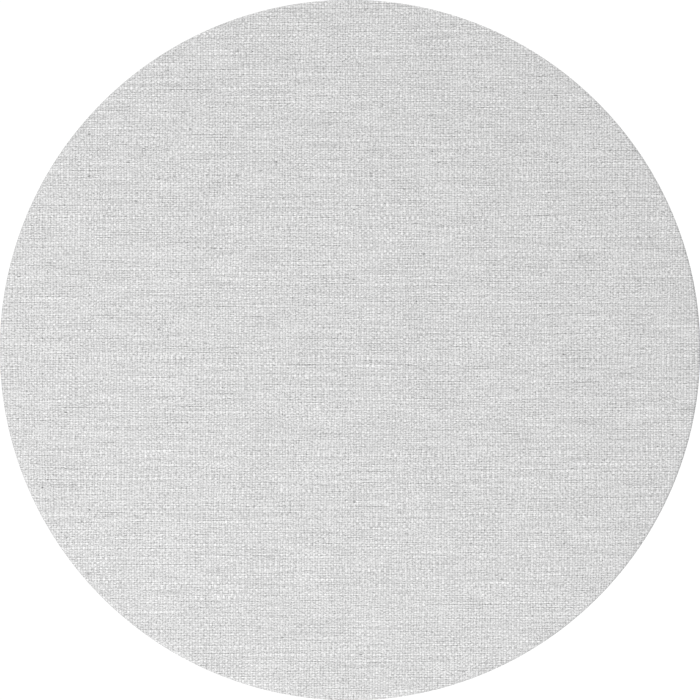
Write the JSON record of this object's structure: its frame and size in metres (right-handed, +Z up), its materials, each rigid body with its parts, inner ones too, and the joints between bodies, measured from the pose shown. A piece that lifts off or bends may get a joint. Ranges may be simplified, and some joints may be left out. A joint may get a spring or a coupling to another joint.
{
  "type": "collapsible backdrop panel",
  "caption": "Round pop-up backdrop panel: a pale slub-woven cloth face and a lining over a sprung steel hoop, with a hanging ring and a keeper loop behind.",
  "frame": {"origin": "the point inside the top of the hanging ring where a hook bears, behind the panel near its top edge", "axes": "+Z up, X across the panel, -Y the way the cloth face looks, so +Y is out of the back"},
  "size_m": [0.6, 0.013, 0.6],
  "materials": {
    "face_cloth": "matt slub plain weave, light grey",
    "lining": "matt plain weave, mid grey",
    "patch_cloth": "matt close weave, dark grey",
    "webbing": "ribbed polypropylene webbing, near black",
    "elastic": "covered flat elastic, near black",
    "pale_thread": "spun polyester thread, pale grey",
    "dark_thread": "spun polyester thread, near black",
    "band_steel": "blued spring steel",
    "ferrule_steel": "zinc plated",
    "ring_steel": "bright nickel plate"
  },
  "bodies": {
    "spine": {"band_end_left": "band_steel", "band_end_right": "band_steel", "band_top_centre": "band_steel", "face_cloth_centre": "face_cloth", "ferrule": "ferrule_steel", "hang_tab": "webbing", "hem_thread_bottom_centre": "pale_thread", "hem_thread_top_centre": "pale_thread", "keeper_root": "elastic", "keeper_thread": "dark_thread", "lining_centre": "lining", "patch": "patch_cloth", "patch_thread": "pale_thread", "tab_thread": "dark_thread"},
    "left_inner": {"band_bottom_left_inner": "band_steel", "band_top_left_inner": "band_steel", "face_cloth_left_inner": "face_cloth", "hem_thread_bottom_left_inner": "pale_thread", "hem_thread_top_left_inner": "pale_thread", "lining_left_inner": "lining"},
    "left_outer": {"band_left_outer": "band_steel", "face_cloth_left_outer": "face_cloth", "hem_thread_left_outer": "pale_thread", "lining_left_outer": "lining"},
    "right_inner": {"band_bottom_right_inner": "band_steel", "band_top_right_inner": "band_steel", "face_cloth_right_inner": "face_cloth", "hem_thread_bottom_right_inner": "pale_thread", "hem_thread_top_right_inner": "pale_thread", "lining_right_inner": "lining"},
    "right_outer": {"band_right_outer": "band_steel", "face_cloth_right_outer": "face_cloth", "hem_thread_right_outer": "pale_thread", "lining_right_outer": "lining"},
    "ring": {"hanging_ring": "ring_steel"},
    "keeper": {"keeper_loop": "elastic"}
  },
  "joints": [
    {"name": "left_inner_fold", "type": "hinge", "parent": "spine", "child": "left_inner", "pos_m": [-0.06, -0.0086, -0.27], "axis": [0, 0, 1], "range_deg": [0, 60], "stiffness_Nm_per_rad": 2},
    {"name": "left_outer_fold", "type": "hinge", "parent": "left_inner", "child": "left_outer", "pos_m": [-0.13, -0.0086, -0.27], "axis": [0, 0, 1], "range_deg": [0, 60], "stiffness_Nm_per_rad": 2},
    {"name": "right_inner_fold", "type": "hinge", "parent": "spine", "child": "right_inner", "pos_m": [0.06, -0.0086, -0.27], "axis": [0, 0, 1], "range_deg": [-60, 0], "stiffness_Nm_per_rad": 2},
    {"name": "right_outer_fold", "type": "hinge", "parent": "right_inner", "child": "right_outer", "pos_m": [0.13, -0.0086, -0.27], "axis": [0, 0, 1], "range_deg": [-60, 0], "stiffness_Nm_per_rad": 2},
    {"name": "ring_swing", "type": "hinge", "parent": "spine", "child": "ring", "pos_m": [0, 0.0014, -0.01393], "axis": [-1, 0, 0], "range_deg": [0, 178]},
    {"name": "keeper_flex", "type": "hinge", "parent": "spine", "child": "keeper", "pos_m": [0, 0.0008, -0.074], "axis": [1, 0, 0], "range_deg": [0, 140]}
  ],
  "couplings": [
    {"joint": "left_outer_fold", "follows": "left_inner_fold", "ratio": 1},
    {"joint": "right_inner_fold", "follows": "left_inner_fold", "ratio": -1},
    {"joint": "right_outer_fold", "follows": "left_inner_fold", "ratio": -1}
  ]
}
